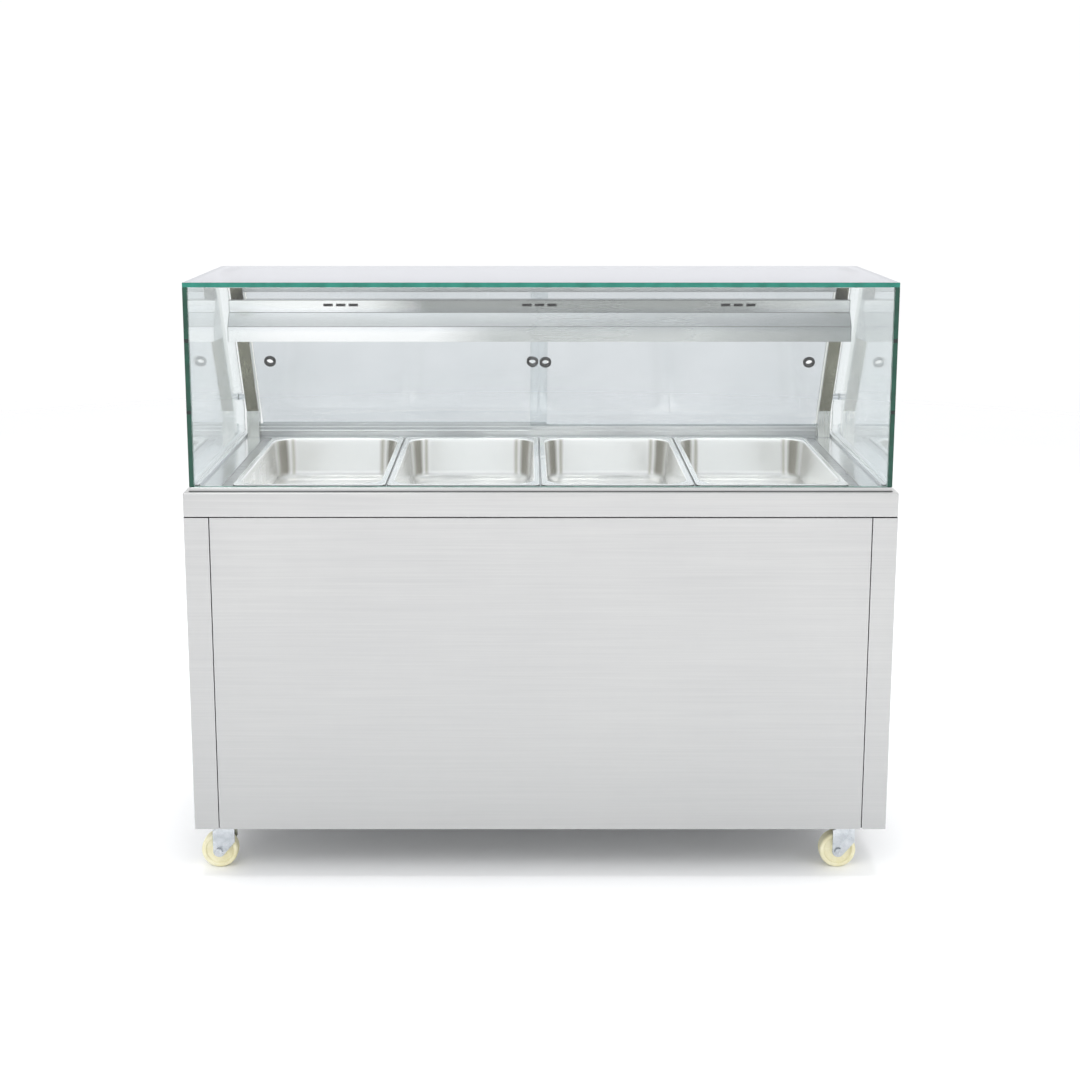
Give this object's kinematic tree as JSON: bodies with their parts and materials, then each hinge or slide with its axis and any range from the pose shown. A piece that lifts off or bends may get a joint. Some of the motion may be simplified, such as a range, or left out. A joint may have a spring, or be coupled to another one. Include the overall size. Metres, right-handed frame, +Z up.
{
  "type": "hot food display case",
  "caption": "Mobile heated food display: open well of food pans under a glass box with a lamp canopy and rear sliding doors, on a steel cabinet with swivel casters.",
  "frame": {"origin": "on the floor under the middle of the case", "axes": "+X along the front to the right as a customer sees it, -Y towards the customer, +Y towards the staff, +Z up"},
  "size_m": [1.5, 0.75, 1.3],
  "materials": {
    "brushed_steel": "horizontally brushed stainless sheet",
    "satin_steel": "satin",
    "pan_steel": "bright drawn stainless",
    "post_steel": "brushed tube",
    "canopy_steel": "brushed sheet",
    "zinc_plate": "bright zinc plate",
    "aluminium_profile": "satin anodised",
    "chromed_fitting": "polished",
    "fixed_glass": "clear float glass with green edges",
    "door_glass": "clear toughened glass",
    "lamp_glass": "frosted quartz",
    "amber_lens": "translucent lens",
    "white_ceramic": "unglazed ceramic",
    "black_rubber": "moulded",
    "black_plastic": "moulded",
    "grey_plastic": "moulded",
    "red_plastic": "translucent",
    "green_plastic": "translucent",
    "red_enamel": "dipped enamel",
    "element_sheath": "heat-darkened",
    "valve_brass": "nickel-free cast",
    "cream_nylon": "moulded nylon"
  },
  "bodies": {
    "root": {"base_panel": "brushed_steel", "left_side_panel": "brushed_steel", "right_side_panel": "brushed_steel", "front_panel": "brushed_steel", "countertop": "brushed_steel", "storage_shelf": "brushed_steel", "control_fascia": "brushed_steel", "control_box": "zinc_plate", "thermostat_body": "grey_plastic", "switch_housings": "black_plastic", "indicator_lamp": "amber_lens", "cable_gland": "black_plastic", "well_tank": "satin_steel", "pan_support_bars": "satin_steel", "heating_element": "element_sheath", "drain_valve": "valve_brass", "left_post": "post_steel", "right_post": "post_steel", "front_glass": "fixed_glass", "left_side_glass": "fixed_glass", "right_side_glass": "fixed_glass", "top_glass": "fixed_glass", "glazing_beads": "aluminium_profile", "glass_standoffs": "chromed_fitting", "lamp_canopy": "canopy_steel", "lamp_reflector": "satin_steel", "lamp_holders": "white_ceramic", "lamp_tubes": "lamp_glass", "lower_door_track": "aluminium_profile", "upper_door_track": "aluminium_profile", "hinge_brackets": "zinc_plate", "caster_plates": "zinc_plate"},
    "thermostat_knob": {"thermostat_knob": "black_plastic"},
    "heat_rocker": {"heat_rocker": "red_plastic"},
    "light_rocker": {"light_rocker": "green_plastic"},
    "drain_lever": {"drain_lever": "red_enamel"},
    "left_sliding_door": {"left_sliding_glass": "door_glass", "left_door_shoe": "aluminium_profile", "left_finger_rings": "black_rubber"},
    "right_sliding_door": {"right_sliding_glass": "door_glass", "right_door_shoe": "aluminium_profile", "right_finger_rings": "black_rubber"},
    "pan_1": {"pan_1": "pan_steel"},
    "pan_2": {"pan_2": "pan_steel"},
    "pan_3": {"pan_3": "pan_steel"},
    "pan_4": {"pan_4": "pan_steel"},
    "left_cabinet_door": {"left_cabinet_door": "brushed_steel", "left_door_handle": "chromed_fitting"},
    "right_cabinet_door": {"right_cabinet_door": "brushed_steel", "right_door_handle": "chromed_fitting"},
    "caster_fork_front_left": {"caster_fork_front_left": "zinc_plate"},
    "caster_wheel_front_left": {"caster_wheel_front_left": "cream_nylon"},
    "caster_fork_front_right": {"caster_fork_front_right": "zinc_plate"},
    "caster_wheel_front_right": {"caster_wheel_front_right": "cream_nylon"},
    "caster_fork_rear_left": {"caster_fork_rear_left": "zinc_plate"},
    "caster_wheel_rear_left": {"caster_wheel_rear_left": "cream_nylon"},
    "caster_fork_rear_right": {"caster_fork_rear_right": "zinc_plate"},
    "caster_wheel_rear_right": {"caster_wheel_rear_right": "cream_nylon"},
    "caster_brake_rear_left": {"caster_brake_rear_left": "red_enamel"},
    "caster_brake_rear_right": {"caster_brake_rear_right": "red_enamel"}
  },
  "joints": [
    {"name": "left_door_slide", "type": "slide", "parent": "root", "child": "left_sliding_door", "axis": [1, 0, 0], "range_m": [0, 0.66]},
    {"name": "right_door_slide", "type": "slide", "parent": "root", "child": "right_sliding_door", "axis": [-1, 0, 0], "range_m": [0, 0.66]},
    {"name": "pan_1_lift", "type": "slide", "parent": "root", "child": "pan_1", "axis": [0, 0, 1], "range_m": [0, 0.08]},
    {"name": "pan_2_lift", "type": "slide", "parent": "root", "child": "pan_2", "axis": [0, 0, 1], "range_m": [0, 0.08]},
    {"name": "pan_3_lift", "type": "slide", "parent": "root", "child": "pan_3", "axis": [0, 0, 1], "range_m": [0, 0.08]},
    {"name": "pan_4_lift", "type": "slide", "parent": "root", "child": "pan_4", "axis": [0, 0, 1], "range_m": [0, 0.08]},
    {"name": "left_cabinet_door_swing", "type": "hinge", "parent": "root", "child": "left_cabinet_door", "pos_m": [-0.688, 0.335, 0.408], "axis": [0, 0, 1], "range_deg": [0, 95]},
    {"name": "right_cabinet_door_swing", "type": "hinge", "parent": "root", "child": "right_cabinet_door", "pos_m": [0.688, 0.335, 0.408], "axis": [0, 0, -1], "range_deg": [0, 95]},
    {"name": "thermostat_turn", "type": "hinge", "parent": "root", "child": "thermostat_knob", "pos_m": [0.445, 0.345, 0.75325], "axis": [0, -1, 0], "range_deg": [0, 270]},
    {"name": "heat_switch", "type": "hinge", "parent": "root", "child": "heat_rocker", "pos_m": [0.53, 0.342, 0.75325], "axis": [-1, 0, 0], "range_deg": [0, 16]},
    {"name": "light_switch", "type": "hinge", "parent": "root", "child": "light_rocker", "pos_m": [0.575, 0.342, 0.75325], "axis": [-1, 0, 0], "range_deg": [0, 16]},
    {"name": "drain_lever_turn", "type": "hinge", "parent": "root", "child": "drain_lever", "pos_m": [-0.56, 0.1485, 0.625], "axis": [0, 1, 0], "range_deg": [0, 90]},
    {"name": "swivel_front_left", "type": "hinge", "parent": "root", "child": "caster_fork_front_left", "pos_m": [-0.683, -0.313, 0.097], "axis": [0, 0, 1], "continuous": true},
    {"name": "roll_front_left", "type": "hinge", "parent": "caster_fork_front_left", "child": "caster_wheel_front_left", "pos_m": [-0.708, -0.313, 0.04], "axis": [0, 1, 0], "continuous": true},
    {"name": "swivel_front_right", "type": "hinge", "parent": "root", "child": "caster_fork_front_right", "pos_m": [0.683, -0.313, 0.097], "axis": [0, 0, 1], "continuous": true},
    {"name": "roll_front_right", "type": "hinge", "parent": "caster_fork_front_right", "child": "caster_wheel_front_right", "pos_m": [0.658, -0.313, 0.04], "axis": [0, 1, 0], "continuous": true},
    {"name": "swivel_rear_left", "type": "hinge", "parent": "root", "child": "caster_fork_rear_left", "pos_m": [-0.683, 0.29, 0.097], "axis": [0, 0, 1], "continuous": true},
    {"name": "roll_rear_left", "type": "hinge", "parent": "caster_fork_rear_left", "child": "caster_wheel_rear_left", "pos_m": [-0.683, 0.315, 0.04], "axis": [1, 0, 0], "continuous": true},
    {"name": "brake_rear_left", "type": "hinge", "parent": "caster_fork_rear_left", "child": "caster_brake_rear_left", "pos_m": [-0.683, 0.306, 0.086], "axis": [-1, 0, 0], "range_deg": [0, 12]},
    {"name": "swivel_rear_right", "type": "hinge", "parent": "root", "child": "caster_fork_rear_right", "pos_m": [0.683, 0.29, 0.097], "axis": [0, 0, 1], "continuous": true},
    {"name": "roll_rear_right", "type": "hinge", "parent": "caster_fork_rear_right", "child": "caster_wheel_rear_right", "pos_m": [0.683, 0.315, 0.04], "axis": [1, 0, 0], "continuous": true},
    {"name": "brake_rear_right", "type": "hinge", "parent": "caster_fork_rear_right", "child": "caster_brake_rear_right", "pos_m": [0.683, 0.306, 0.086], "axis": [-1, 0, 0], "range_deg": [0, 12]}
  ]
}
